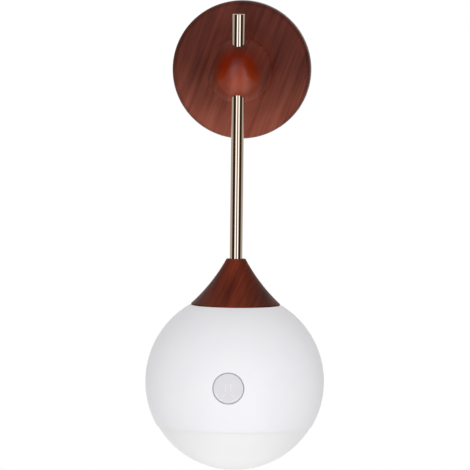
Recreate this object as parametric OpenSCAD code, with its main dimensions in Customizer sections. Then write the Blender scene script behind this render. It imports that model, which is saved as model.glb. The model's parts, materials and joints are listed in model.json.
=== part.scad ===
// Wall night light: a white globe with a motion sensor hangs on a rod from a magnetic ball joint.
// The wall is the plane y = 0, the front faces -Y, and z = 0 is level with the ball's centre.

/* [Wall disc] */
// Diameter of the wooden wall disc
base_d = 70; // [64:0.5:90]
// Rounding of the disc's front edge
base_edge_r = 3; // [0.5:0.1:4]
// Bevel of the disc's back edge
base_bevel = 0.6; // [0.2:0.1:1.2]
// Wood left between the ball's seat and the magnet
base_web = 0.8; // [0.5:0.1:3]
// Diameter of the cover let into the disc's back
cover_d = 56; // [44:0.5:60]
// Thickness of that cover
cover_t = 2.5; // [2:0.1:4]
// Distance of the cover screws from the disc's centre
cover_screw_r = 21; // [16:0.5:23]
// Diameter of the adhesive foam pad
pad_d = 54; // [40:0.5:60]
// Thickness of the adhesive foam pad
pad_t = 1; // [0.5:0.1:3]
// Diameter of the magnet
magnet_d = 20; // [12:0.5:26]
// Thickness of the magnet
magnet_t = 4.5; // [3:0.1:8]

/* [Ball joint] */
// Diameter of the ball
ball_d = 33; // [30:0.5:40]
// Depth that the ball sinks below the disc's face
ball_sink = 3; // [2:0.1:6]
// Distance of the rod's axis in front of the ball's centre
rod_offset = 7.8; // [5:0.1:9]
// Width of the seat ring's flat rim round the ball
seat_rim = 1.3; // [0.6:0.1:3]
// Bore of the seat ring
seat_bore = 11; // [8:0.1:12]
// Free depth behind the ball
seat_floor = 0.5; // [0.3:0.05:1]
// Diameter of the steel slug in the back of the ball
slug_d = 10; // [7:0.1:12]
// Length of that slug
slug_l = 9; // [6:0.1:12]
// Width of the key recess in the slug's back
slug_key = 4; // [2:0.1:5]

/* [Rod] */
// Diameter of the rod
rod_d = 6.4; // [5:0.1:9]
// Height of the rod's top above the ball's centre
rod_top = 28.6; // [18:0.1:50]
// Edge bevel at the rod's top
rod_bevel = 0.4; // [0.1:0.1:1]
// Width of the groove that the slug's nose rides in
groove_w = 2.4; // [1.6:0.1:4]
// Depth of that groove
groove_depth = 0.6; // [0.3:0.1:1.2]
// Diameter of the rod's threaded end
stud_d = 5; // [3:0.1:6]
// Drop from the ball's centre to the globe's centre
drop = 156.5; // [120:0.5:220]

/* [Cone cap] */
// Height of the cone cap
cone_h = 23.3; // [18:0.1:36]
// Diameter of the cone's flat top
cone_top_d = 10; // [8.5:0.1:14]
// Diameter of the cone's base
cone_base_d = 44.7; // [38:0.1:45.6]
// Depth by which the flare bows in from a straight side
cone_sag = 1.3; // [0.3:0.05:3]
// Bevel of the cone's top edge
cone_bevel = 0.4; // [0.1:0.1:1]
// Depth that the rod reaches into the cone
rod_grip = 6; // [3:0.1:9]
// Wood below the rod's shoulder, clamped by the nut
cone_web = 3; // [2:0.1:6]
// Wall of the cone at its base
cone_wall = 3; // [2:0.1:4]
// Wall of the cone beside the nut
cone_neck_wall = 3; // [1.6:0.1:4]

/* [Globe] */
// Diameter of the globe
globe_d = 90; // [84:0.5:120]
// Wall of the upper shell
shell_wall = 2; // [1.4:0.1:3]
// Diameter of the flat at the globe's top, where the cone sits
neck_d = 46; // [44.4:0.1:52]
// Thickness of that flat
neck_t = 2.4; // [1.6:0.1:4]
// Diameter of the hole in the flat, for the nut
neck_hole_d = 16; // [13:0.1:18]
// Distance of the cone screws from the axis
cone_screw_r = 12; // [11.2:0.1:13]
// Drop of the seam below the globe's centre
seam_drop = 22.5; // [19:0.1:26]
// Open height of the seam
seam_gap = 0.15; // [0.1:0.05:1]
// Set-in of the diffuser's surface from the shell's
diffuser_step = 0.4; // [0.1:0.05:1]
// Wall of the diffuser
diffuser_wall = 2; // [1.2:0.1:3]
// Thickness of the diffuser's inner lip
lip_t = 1.5; // [1:0.1:2.5]
// Height of the lip above the seam
lip_h = 2.4; // [2:0.1:3]
// Height of the snap bead inside the shell's edge
bead_h = 0.8; // [0.5:0.1:1.2]
// Depth of the snap bead
bead_in = 0.5; // [0.3:0.05:0.9]
// Number of snap lugs on the lip
lug_count = 6; // [3:1:12]
// Width of each snap lug
lug_w = 8; // [4:0.5:12]

/* [Motion sensor] */
// Diameter of the sensor window
lens_d = 15; // [13:0.1:18]
// Open ring round the window
lens_gap = 0.4; // [0.2:0.05:0.8]
// Thickness of the window
lens_t = 0.9; // [0.6:0.05:1.4]
// Width of the window's hidden flange
lens_flange = 1.8; // [1.2:0.1:2.4]
// Lenslets in the window's outer row
lenslet_count = 8; // [5:1:10]
// Depth of each lenslet
lenslet_depth = 0.35; // [0.15:0.05:0.5]
// Depth of the sensor board behind the globe's surface
sensor_depth = 13; // [11:0.1:17]
// Thickness of the circuit boards
board_t = 1.2; // [0.8:0.1:2]
// Width of the sensor board
sensor_board_w = 34; // [32:0.5:40]
// Height of the sensor board
sensor_board_h = 18; // [14:0.5:20]
// Diameter of the motion sensor's can
can_d = 8.2; // [6:0.1:9]
// Height of the motion sensor's can
can_h = 4.4; // [3:0.1:5]
// Wall of the sensor housing's tube
housing_wall = 2.2; // [1.4:0.1:3]
// Thickness of the sensor housing's ears
ear_t = 2; // [1.4:0.1:3]

/* [Inside the globe] */
// Thickness of the chassis plate
chassis_t = 2; // [1.6:0.1:3]
// Height of the chassis above the seam
chassis_lift = 5.5; // [4.6:0.1:7]
// Diameter of the battery cell
cell_d = 18; // [14:0.1:18.6]
// Length of the battery cell
cell_l = 50; // [34:0.5:60]
// Floor under the cell in its cradle
cell_floor = 1.5; // [1:0.1:3]
// Width of the strap over the cell
strap_w = 8; // [6:0.1:12]
// Thickness of that strap
strap_t = 1.2; // [0.8:0.1:2]
// Diameter of the lamp board
led_board_d = 52; // [46:0.5:58]
// Number of lamp chips
led_count = 10; // [4:1:14]
// Distance of the lamp chips from the axis
led_r = 21; // [19:0.5:22]

/* [Controls at the back] */
// Width of the control board
control_w = 36; // [34:0.5:40]
// Height of the control board
control_h = 22; // [20:0.5:24]
// Height of the slide switch above the globe's centre
switch_z = 5; // [4:0.1:6]
// Drop of the charge port below the globe's centre
port_z = 5; // [4:0.1:6]
// Width of the charge port
port_w = 9; // [8:0.1:10]
// Height of the charge port
port_h = 3.3; // [3:0.1:4]
// Length of the charge port
port_l = 8; // [7:0.1:10]
// Travel of the slider to each side of its middle position
slider_travel = 2; // [1:0.1:3]
// Length of the slider's knob
knob_l = 5; // [4:0.1:7]
// Height of the slider's knob
knob_h = 3.4; // [2.6:0.1:4]
// Depth of the pocket that the knob moves in
knob_pocket = 1.4; // [1:0.1:2]
// Thickness of the shell's flat behind the controls
panel_t = 2; // [1.6:0.1:3]

/* [Fasteners and fits] */
// Shank diameter of the small screws
screw_d = 2.4; // [1.8:0.1:3]
// Shank length of the small screws past what they hold
screw_bite = 4.5; // [3:0.1:6]
// Running clearance of the rod, all round
rod_fit = 0.05; // [0.02:0.01:0.1]
// Clearance of the ball and its seat ring
ball_fit = 0.1; // [0.05:0.01:0.3]
// Clearance round fixed pieces
fit = 0.1; // [0.05:0.01:0.3]
// Clearance round moving and hidden pieces
gap = 0.3; // [0.2:0.05:0.5]

/* [Hidden] */
$fn = 96;
eps = 0.01;

// Overshoot of a cut past the face that it opens
cut = 1;

// Wall disc and ball joint: distances are from the wall
seat_depth = ball_sink + seat_floor;
base_t = seat_depth + base_web + magnet_t + cover_t;
base_face = pad_t + base_t;
ball_r = ball_d / 2;
ball_out = base_face + ball_r - ball_sink;
axis_out = ball_out + rod_offset;
seat_r = sqrt(ball_r * ball_r - pow(ball_r - ball_sink, 2)) + seat_rim;
slug_front = ball_r - slug_l;
slug_key_depth = 2.5;
cover_screws_n = 3;

// Screws: the head and its recess follow the shank
head_d = screw_d * 1.8;
head_h = screw_d * 0.65;
recess_l = screw_d * 1.08;
recess_w = screw_d * 0.22;
recess_depth = head_h * 0.55;
pilot_r = screw_d / 2 + fit / 2;
pilot_room = 0.5;
boss_wall = 1.6;
boss_d = screw_d + 2 * boss_wall;
head_rim = 1;

// Globe: heights are from its centre
globe_r = globe_d / 2;
shell_in = globe_r - shell_wall;
shell_mid = globe_r - shell_wall / 2;
neck_z = sqrt(globe_r * globe_r - neck_d * neck_d / 4);
cone_top_z = neck_z + cone_h;
shoulder_z = cone_top_z - rod_grip;
nut_seat_z = shoulder_z - cone_web;
cavity_r = cone_base_d / 2 - cone_wall;
spigot_h = 1.6;
spigot_t = 1.6;
stud_nut_h = stud_d * 0.8;
stud_nut_d = stud_d * 1.85;
stud_washer_d = stud_d * 2;
stud_washer_t = stud_d * 0.2;
stud_past = 1.5;
cone_screws_n = 3;

// Flare of the cone, an arc through the base edge and the top edge
flare_dr = (cone_base_d - cone_top_d) / 2;
flare_dz = cone_h - cone_bevel;
flare_chord = sqrt(flare_dr * flare_dr + flare_dz * flare_dz);
flare_r = flare_chord * flare_chord / (8 * cone_sag) + cone_sag / 2;
flare_away = flare_r - cone_sag;
flare_x = (cone_base_d + cone_top_d) / 4 + flare_away * flare_dz / flare_chord;
flare_z = flare_dz / 2 + flare_away * flare_dr / flare_chord;
function flare_radius(h) = flare_x - sqrt(flare_r * flare_r - (h - flare_z) * (h - flare_z));
cavity_h = nut_seat_z - neck_z;
cavity_top_r = flare_radius(cavity_h) - cone_neck_wall;

// Seam and snap
seam_in = sqrt(shell_in * shell_in - seam_drop * seam_drop);
bead_r = seam_in - bead_in;
lip_r = bead_r - gap / 2;
lug_r = bead_r + bead_in;
lug_h = 0.8;
lip_root = 3;
diffuser_r = globe_r - diffuser_step;

// Motion sensor: depths are from the globe's centre to the front
lens_hole_r = lens_d / 2 + lens_gap;
flange_r = lens_d / 2 + lens_flange;
flange_out = shell_in - fit / 2;
flange_in = flange_out - lens_t;
skirt_t = 0.9;
housing_step = 0.4;
housing_front = flange_in - fit / 2;
board_face = globe_r - sensor_depth;
housing_in_r = lens_d / 2 - skirt_t + housing_step;
housing_out_r = housing_in_r + housing_wall;
sensor_screw_x = housing_out_r + head_d / 2 + head_rim;
ear_rim = 1.2;
ear_h = head_d + 2 * ear_rim;
lenslet_r = 4;
lenslet_out = 0.6;
lenslet_angle = asin(lenslet_out * lens_d / 2 / globe_r);
can_brim = 0.5;
can_brim_t = 0.6;
can_window = [4, 3.2];
can_window_depth = 0.3;
light_chip = [2, 1.25, 0.9];
light_chip_rise = 0.7;

// Chassis, battery and lamp board: heights from the globe's centre
chassis_bottom = -seam_drop + chassis_lift;
chassis_top = chassis_bottom + chassis_t;
chassis_wall_r = sqrt(shell_in * shell_in - chassis_bottom * chassis_bottom);
chassis_room = 0.8;
chassis_r = chassis_wall_r - chassis_room;
chassis_screw_r = chassis_r - head_d / 2 - head_rim;
chassis_screws_n = 4;
post_cap = 3;
post_h = screw_bite + post_cap;
cell_r = cell_d / 2;
cell_z = chassis_top + cell_floor + cell_r;
cell_tip_r = 3.2;
cell_tip_h = 1.2;
cradle_inset = 8;
cradle_x = cell_l / 2 - cradle_inset;
cradle_t = 3;
cradle_side = 2;
cradle_top = cell_z - cell_r / 3;
strap_rim = 0.8;
strap_foot = head_d + 2 * strap_rim;
strap_screw_y = cell_r + gap + strap_t + strap_foot / 2;
led_standoff = 1.5;
led_board_top = chassis_bottom - led_standoff;
led_board_bottom = led_board_top - board_t;
led_screw_inset = 6;
led_screw_r = led_board_d / 2 - head_d - led_screw_inset;
led_screws_n = 3;
led_chip = [3.5, 2.8, 0.8];

// Controls: depths are from the globe's centre to the back
knob_floor = globe_r - knob_pocket;
panel_in = knob_floor - panel_t;
panel_side = 6;
panel_end = 1;
panel_w = control_w - 2 * panel_side;
panel_h = control_h - 2 * panel_end;
port_mouth = knob_floor;
control_face = port_mouth - port_l;
board_rim = 0.4;
control_screw_x = control_w / 2 - boss_d / 2 - board_rim;
knob_t = knob_pocket - gap;
rib_step = 1.1;
rib_w = 0.5;
rib_depth = 0.3;
neck_w = 1.8;
neck_hh = 1.6;
hook_t = 0.6;
hook_out = 0.5;
switch_w = 9;
switch_h = 4;
switch_t = 3.8;
switch_slot = 2;
port_wall = 0.35;
port_floor = 1;
tongue_w = 6.5;
tongue_short = 1;

// Wires: routes chosen by hand, as offsets from the pieces that they join
lead_d = 1.6;
control_inside = control_face - board_t;
sensor_inside = board_face - board_t;
lead_sides = 8;
lead_end = 0.2;
lead_run = 2;
battery_pad_x = control_screw_x - head_d / 2 - 2 * lead_d;
battery_pad_z = 4;
battery_route = [
    [cell_l / 2 + lead_end, 0, cell_z],
    [cell_l / 2 + lead_run, 0, cell_z],
    [cell_l / 2 + 4, 4, cell_z + 1],
    [cell_l / 2 + 2, 12, cell_z + 4],
    [cell_l / 2 - 6, 19, cell_z + 5],
    [battery_pad_x + 2, control_inside - lead_run - 3, battery_pad_z],
    [battery_pad_x, control_inside - lead_run, battery_pad_z],
    [battery_pad_x, control_inside - lead_end, battery_pad_z]
];
led_route = [
    [-10, 20, led_board_top + lead_end],
    [-10, 20, chassis_bottom],
    [-10, 20, chassis_top + lead_run],
    [-10, 21.5, chassis_top + 6],
    [-9, control_inside - lead_run - 2, -port_z],
    [-9, control_inside - lead_run, -port_z],
    [-9, control_inside - lead_end, -port_z]
];
sensor_route = [
    [7, lead_end - sensor_inside, 5],
    [7, lead_run - sensor_inside, 5],
    [7, 5 - sensor_inside, 7],
    [7, -12, cell_z + cell_r + 6],
    [5, 0, cell_z + cell_r + 8],
    [3, 14, cell_z + cell_r + 6],
    [2, control_inside - lead_run - 3, 8],
    [2, control_inside - lead_run, 7],
    [2, control_inside - lead_end, 7]
];
lead_hole_d = lead_d + 2 * gap;

// Frames of the three groups of pieces
module from_wall() rotate([90, 0, 0]) children();
module at_ball() translate([0, -ball_out, 0]) children();
module at_rod() translate([0, -axis_out, 0]) children();
module at_globe() translate([0, -axis_out, -drop]) children();
module to_front() rotate([90, 0, 0]) children();
module to_back() rotate([-90, 0, 0]) children();

// Disc between two heights
module slab(r, z0, z1) translate([0, 0, z0]) cylinder(r = r, h = z1 - z0);

// Block between two corners
module block(a, b) translate(a) cube(b - a);

// Plate with half-round ends, along x
module stadium(l, h, t) {
    for (s = [-1, 1]) translate([s * (l - h) / 2, 0, 0]) cylinder(d = h, h = t);
    translate([-(l - h) / 2, -h / 2, 0]) cube([l - h, h, t]);
}

// Cross-recessed screw: the head stands on z = 0 and the shank goes down
module screw(shank) {
    difference() {
        union() {
            cylinder(d = head_d, h = head_h);
            slab(screw_d / 2, -shank, eps);
        }
        for (a = [0, 90])
            rotate(a) translate([-recess_l / 2, -recess_w / 2, head_h - recess_depth])
                cube([recess_l, recess_w, recess_depth + cut]);
    }
}

// Places round the axis
module around(n, r, start = 0)
    for (i = [0:n - 1]) rotate(start + i * 360 / n) translate([r, 0, 0]) children();
module cover_places() around(cover_screws_n, cover_screw_r, 90) children();
module cone_places() around(cone_screws_n, cone_screw_r, 90) children();
module chassis_places() around(chassis_screws_n, chassis_screw_r, 45) children();
module led_places() around(led_screws_n, led_screw_r, 60) children();
module sides(x) for (s = [-1, 1]) translate([s * x, 0, 0]) children();

// Round wire swept along its route
function unit(v) = v / norm(v);
function tangent(p, i) = unit(p[min(i + 1, len(p) - 1)] - p[max(i - 1, 0)]);
function side_of(t) = unit(abs(t[2]) < 0.9 ? cross(t, [0, 0, 1]) : cross(t, [1, 0, 0]));
function carry(p, i) =
    i == 0 ? side_of(tangent(p, 0)) :
    let (s = carry(p, i - 1), t = tangent(p, i)) unit(s - (s * t) * t);
function smooth(p, n) = [
    for (i = [0:len(p) - 2], k = [0:n - 1])
        let (
            a = p[max(i - 1, 0)], b = p[i], c = p[i + 1], d = p[min(i + 2, len(p) - 1)], u = k / n
        )
        0.5 * ((2 * b) + (c - a) * u + (2 * a - 5 * b + 4 * c - d) * u * u
            + (3 * b - a - 3 * c + d) * u * u * u),
    p[len(p) - 1]
];
module wire(route) {
    p = smooth(route, 3);
    m = len(p);
    rings = [
        for (i = [0:m - 1], k = [0:lead_sides - 1])
            let (t = tangent(p, i), s = carry(p, i), w = cross(t, s), a = k * 360 / lead_sides)
            p[i] + lead_d / 2 * (cos(a) * s + sin(a) * w)
    ];
    walls = [
        for (i = [0:m - 2], k = [0:lead_sides - 1])
            let (a = i * lead_sides + k, b = i * lead_sides + (k + 1) % lead_sides)
            each [[a, a + lead_sides, b + lead_sides], [a, b + lead_sides, b]]
    ];
    last = (m - 1) * lead_sides;
    ends = [for (k = [1:lead_sides - 2]) each [[0, k, k + 1], [last, last + k + 1, last + k]]];
    polyhedron(points = rings, faces = concat(walls, ends));
}

// Wall disc: turned, with the ball's seat in front and pockets for magnet and cover behind
module base_profile() {
    r = base_d / 2;
    difference() {
        union() {
            translate([0, pad_t]) square([r, base_t - base_edge_r]);
            translate([0, pad_t]) square([r - base_edge_r, base_t]);
            translate([r - base_edge_r, base_face - base_edge_r]) circle(base_edge_r);
        }
        translate([-base_d, 0]) square([base_d, 2 * base_face]);
        polygon([[r - base_bevel, pad_t], [r + cut, pad_t], [r + cut, pad_t + base_bevel + cut]]);
    }
}
module base_disc() color("#5f2f27") from_wall() difference() {
    rotate_extrude() base_profile();
    slab(seat_r + fit, base_face - seat_depth, base_face + cut);
    slab(magnet_d / 2 + fit, pad_t - cut, pad_t + cover_t + magnet_t);
    slab(cover_d / 2 + fit, pad_t - cut, pad_t + cover_t);
    cover_places() slab(pilot_r, pad_t, pad_t + cover_t + screw_bite + pilot_room);
}
module seat_ring() color("#2b2b2b") from_wall() difference() {
    slab(seat_r, base_face - seat_depth + fit, base_face);
    slab(seat_bore / 2, base_face - seat_depth - cut, base_face + cut);
    translate([0, 0, ball_out]) sphere(ball_r + ball_fit);
}
module base_magnet() color("#b9bbbe") from_wall()
    slab(magnet_d / 2, pad_t + cover_t, pad_t + cover_t + magnet_t - fit);
module base_cover() color("#2e2a28") from_wall() difference() {
    slab(cover_d / 2, pad_t, pad_t + cover_t);
    cover_places() slab(pilot_r, pad_t - cut, pad_t + cover_t + cut);
    cover_places() slab(head_d / 2 + fit, pad_t - cut, pad_t + head_h + fit / 2);
}
module cover_screws() color("#c9ccd1") from_wall()
    cover_places() translate([0, 0, pad_t + head_h + fit / 2]) mirror([0, 0, 1]) screw(screw_bite);
module adhesive_pad() color("#f2f1ec") from_wall() slab(pad_d / 2, 0, pad_t);

// Ball joint: the rod passes through the ball's front half, and a steel slug in its back holds the rod
module pivot_ball() color("#74260c") at_ball() difference() {
    to_back() sphere(ball_r);
    translate([0, -rod_offset, 0]) slab(rod_d / 2 + rod_fit, -ball_d, ball_d);
    to_back() slab(slug_d / 2 + fit / 2, slug_front - fit, ball_d);
    to_back() slab(groove_w / 2, -rod_offset, ball_r);
}
module ball_slug() color("#8d9094") at_ball() to_back() {
    tip = rod_d / 2 - groove_depth + fit - rod_offset;
    difference() {
        intersection() {
            sphere(ball_r);
            slab(slug_d / 2, slug_front, ball_r);
        }
        translate([0, 0, ball_r - slug_key_depth]) cylinder(d = slug_key, h = ball_r, $fn = 6);
    }
    slab(groove_w / 2 - fit, tip, slug_front + eps);
}
module rod() color("#cfc3ae") at_rod() {
    shoulder = shoulder_z - drop;
    stud_end = nut_seat_z - drop - stud_washer_t - stud_nut_h - stud_past;
    rotate_extrude() polygon([
        [0, stud_end],
        [stud_d / 2, stud_end],
        [stud_d / 2, shoulder],
        [rod_d / 2, shoulder],
        [rod_d / 2, -groove_w / 2],
        [rod_d / 2 - groove_depth, -groove_w / 2],
        [rod_d / 2 - groove_depth, groove_w / 2],
        [rod_d / 2, groove_w / 2],
        [rod_d / 2, rod_top - rod_bevel],
        [rod_d / 2 - rod_bevel, rod_top],
        [0, rod_top]
    ]);
}

// Cone cap: turned flare, hollow below, with posts for its three screws
module cone_outline() difference() {
    polygon([
        [0, 0],
        [cone_base_d / 2, 0],
        [cone_top_d / 2, cone_h - cone_bevel],
        [cone_top_d / 2 - cone_bevel, cone_h],
        [0, cone_h]
    ]);
    translate([flare_x, flare_z]) circle(flare_r, $fn = 360);
}
module cone_cap() color("#5a2518") at_globe() translate([0, 0, neck_z]) difference() {
    union() {
        difference() {
            rotate_extrude() cone_outline();
            translate([0, 0, -eps]) cylinder(r1 = cavity_r, r2 = cavity_top_r, h = cavity_h + eps);
            slab(cavity_r + fit, -cut, spigot_h + gap);
        }
        intersection() {
            rotate_extrude() cone_outline();
            cone_places() cylinder(d = boss_d, h = cavity_h);
        }
    }
    slab(rod_d / 2 + fit, cone_h - rod_grip, cone_h + cut);
    slab(stud_d / 2 + fit, cavity_h - cut, cone_h);
    cone_places() slab(pilot_r, -cut, screw_bite + pilot_room);
}
module rod_washer() color("#c9ccd1") at_globe() difference() {
    slab(stud_washer_d / 2, nut_seat_z - stud_washer_t, nut_seat_z);
    slab(stud_d / 2 + fit, nut_seat_z - stud_washer_t - cut, nut_seat_z + cut);
}
module rod_nut() color("#c9ccd1") at_globe() translate([0, 0, nut_seat_z - stud_washer_t - stud_nut_h])
    difference() {
        cylinder(d = stud_nut_d, h = stud_nut_h, $fn = 6);
        slab(stud_d / 2 + fit / 2, -cut, stud_nut_h + cut);
    }
module cone_screws() color("#c9ccd1") at_globe()
    cone_places() translate([0, 0, neck_z - neck_t]) mirror([0, 0, 1]) screw(neck_t + screw_bite);

// Upper shell: moulded, with the neck's flat, the control panel's flat and the screw posts inside
module shell_skin() difference() {
    sphere(globe_r);
    intersection() {
        sphere(shell_in);
        slab(globe_r, -globe_r, neck_z - neck_t);
    }
    slab(globe_r, neck_z, globe_r + cut);
    slab(globe_r + cut, -globe_r - cut, -seam_drop);
}
module shell_inside() intersection() {
    sphere(shell_mid);
    union() {
        difference() {
            slab(globe_r, -seam_drop, -seam_drop + bead_h);
            slab(bead_r, -seam_drop - cut, -seam_drop + bead_h + cut);
        }
        chassis_places() {
            slab(boss_d / 2, chassis_top, chassis_top + post_h);
            block([0, -boss_d / 3, chassis_top], [globe_r, boss_d / 3, chassis_top + post_h]);
        }
        sides(sensor_screw_x) to_front() slab(boss_d / 2, board_face + ear_t, globe_r);
        sides(control_screw_x) to_back() slab(boss_d / 2, control_face, globe_r);
        block([-panel_w / 2, panel_in, -panel_h / 2], [panel_w / 2, globe_r, panel_h / 2]);
    }
}
module shell_openings() {
    slab(neck_hole_d / 2, 0, globe_r);
    cone_places() slab(pilot_r, 0, globe_r);
    chassis_places() slab(pilot_r, chassis_top - cut, chassis_top + screw_bite + pilot_room);
    to_front() slab(lens_hole_r, 0, globe_r);
    sides(sensor_screw_x) to_front() slab(pilot_r, 0, board_face + ear_t + screw_bite + pilot_room);
    sides(control_screw_x) to_back() slab(pilot_r, 0, control_face + screw_bite + pilot_room);
    translate([0, 0, switch_z]) to_back() {
        translate([0, 0, knob_floor])
            stadium(knob_l + 2 * (slider_travel + gap), knob_h + 2 * gap, globe_r);
        stadium(neck_w + 2 * (slider_travel + gap), neck_hh + 2 * gap, globe_r);
    }
    translate([0, 0, -port_z]) to_back() stadium(port_w + 2 * fit, port_h + 2 * fit, globe_r);
}
module upper_shell() color("#f1f0f4") at_globe() difference() {
    union() {
        shell_skin();
        shell_inside();
        difference() {
            slab(cavity_r, neck_z - eps, neck_z + spigot_h);
            slab(cavity_r - spigot_t, neck_z - cut, neck_z + spigot_h + cut);
        }
    }
    shell_openings();
}

// Diffuser: milky bowl whose lip snaps inside the shell's edge
module lip_ring(r0, r1, z0, z1) difference() {
    slab(r1, z0, z1);
    slab(r0, z0 - cut, z1 + cut);
}
module diffuser() color("#f2f2f2") at_globe() {
    edge = -seam_drop - seam_gap;
    lug_z = -seam_drop + bead_h + gap / 2;
    difference() {
        sphere(diffuser_r);
        sphere(diffuser_r - diffuser_wall);
        slab(globe_r, edge, globe_r);
    }
    intersection() {
        sphere(diffuser_r - diffuser_wall / 2);
        lip_ring(lip_r - lip_t, lip_r, edge - lip_root, -seam_drop + lip_h);
    }
    intersection() {
        lip_ring(lip_r - lip_t / 2, lug_r, lug_z, lug_z + lug_h);
        around(lug_count, 0) block([0, -lug_w / 2, -globe_r], [globe_r, lug_w / 2, globe_r]);
    }
}

// Sensor window: a cap of the globe's own sphere, lenslets inside and a flange behind the wall
module ring_between(outer, inner, r0, r1) intersection() {
    difference() {
        circle(outer, $fn = 360);
        circle(inner, $fn = 360);
    }
    translate([r0, 0]) square([r1 - r0, outer + cut]);
}
module lens_profile() {
    skirt_in = lens_d / 2 - skirt_t;
    ring_between(globe_r, globe_r - lens_t, 0, lens_d / 2);
    ring_between(globe_r, flange_in, skirt_in, lens_d / 2);
    ring_between(flange_out, flange_in, skirt_in, flange_r);
}
module lenslet() translate([0, 0, globe_r - lens_t - lenslet_r + lenslet_depth]) sphere(lenslet_r);
module pir_lens() color("#e2e1e4") at_globe() to_front() difference() {
    rotate_extrude() lens_profile();
    lenslet();
    around(lenslet_count, 0) rotate([0, lenslet_angle, 0]) lenslet();
}
module sensor_housing() color("#3a3b3f") at_globe() difference() {
    intersection() {
        sphere(housing_front);
        union() {
            to_front() slab(housing_out_r, board_face, globe_r);
            to_front() translate([0, 0, board_face])
                stadium(2 * sensor_screw_x + ear_h, ear_h, ear_t);
        }
    }
    to_front() slab(housing_in_r, 0, globe_r);
    sides(sensor_screw_x) to_front() slab(pilot_r, 0, globe_r);
}
module sensor_board() color("#1e5b3a") at_globe() to_front() difference() {
    translate([-sensor_board_w / 2, -sensor_board_h / 2, board_face - board_t])
        cube([sensor_board_w, sensor_board_h, board_t]);
    sides(sensor_screw_x) slab(pilot_r, 0, globe_r);
}
module pir_sensor() color("#c9ccd1") at_globe() to_front() difference() {
    union() {
        slab(can_d / 2, board_face, board_face + can_brim_t);
        slab(can_d / 2 - can_brim, board_face, board_face + can_h);
    }
    translate([-can_window[0] / 2, -can_window[1] / 2, board_face + can_h - can_window_depth])
        cube([can_window[0], can_window[1], can_window_depth + cut]);
}
module light_sensor() color("#d9d2b0") at_globe() to_front()
    translate([-light_chip[0] / 2, light_chip_rise - housing_in_r, board_face]) cube(light_chip);
module sensor_screws() color("#c9ccd1") at_globe() sides(sensor_screw_x) to_front()
    translate([0, 0, board_face - board_t]) mirror([0, 0, 1]) screw(board_t + ear_t + screw_bite);

// Chassis: carries the cell above and the lamp board below
module chassis() color("#e6e6e6") at_globe() difference() {
    union() {
        slab(chassis_r, chassis_bottom, chassis_top);
        intersection() {
            sides(cradle_x) block(
                [-cradle_t / 2, -cell_r - cradle_side, chassis_top - eps],
                [cradle_t / 2, cell_r + cradle_side, cradle_top]
            );
            slab(chassis_r, chassis_bottom, globe_r);
        }
        led_places() slab(boss_d / 2, led_board_top, chassis_bottom + eps);
    }
    translate([-globe_r, 0, cell_z]) rotate([0, 90, 0]) cylinder(r = cell_r + fit, h = globe_d);
    chassis_places() slab(pilot_r, -globe_r, globe_r);
    strap_places() slab(pilot_r, chassis_bottom - cut, globe_r);
    led_places() slab(pilot_r, led_board_top - cut, chassis_top + cut);
    translate([led_route[0][0], led_route[0][1], 0]) slab(lead_hole_d / 2, -globe_r, globe_r);
}
module chassis_screws() color("#c9ccd1") at_globe()
    chassis_places() translate([0, 0, chassis_bottom]) mirror([0, 0, 1]) screw(chassis_t + screw_bite);
module battery() color("#3f7fb5") at_globe() translate([0, 0, cell_z]) rotate([0, 90, 0]) union() {
    slab(cell_r, -cell_l / 2, cell_l / 2 - cell_tip_h);
    slab(cell_tip_r, cell_l / 2 - cell_tip_h - eps, cell_l / 2);
}
module strap_places() for (s = [-1, 1]) translate([0, s * strap_screw_y, 0]) children();
module battery_strap() color("#45474c") at_globe() difference() {
    union() {
        translate([-strap_w / 2, 0, cell_z]) rotate([0, 90, 0])
            cylinder(r = cell_r + gap + strap_t, h = strap_w);
        block(
            [-strap_w / 2, -cell_r - gap - strap_t, chassis_top],
            [strap_w / 2, cell_r + gap + strap_t, cell_z]
        );
        block(
            [-strap_w / 2, -strap_screw_y - strap_foot / 2, chassis_top],
            [strap_w / 2, strap_screw_y + strap_foot / 2, chassis_top + strap_t]
        );
    }
    translate([-globe_r, 0, cell_z]) rotate([0, 90, 0]) cylinder(r = cell_r + gap, h = globe_d);
    block([-globe_r, -cell_r - gap, 2 * -globe_r], [globe_r, cell_r + gap, cell_z]);
    strap_places() slab(pilot_r, chassis_top - cut, chassis_top + strap_t + cut);
}
module strap_screws() color("#c9ccd1") at_globe()
    strap_places() translate([0, 0, chassis_top + strap_t]) screw(strap_t + chassis_t);
module led_board() color("#e9e9e4") at_globe() difference() {
    slab(led_board_d / 2, led_board_bottom, led_board_top);
    led_places() slab(pilot_r, led_board_bottom - cut, led_board_top + cut);
}
module leds() color("#efd77a") at_globe() around(led_count, led_r)
    translate([-led_chip[0] / 2, -led_chip[1] / 2, led_board_bottom - led_chip[2]]) cube(led_chip);
module led_screws() color("#c9ccd1") at_globe() led_places()
    translate([0, 0, led_board_bottom]) mirror([0, 0, 1]) screw(board_t + led_standoff + chassis_t);

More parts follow.
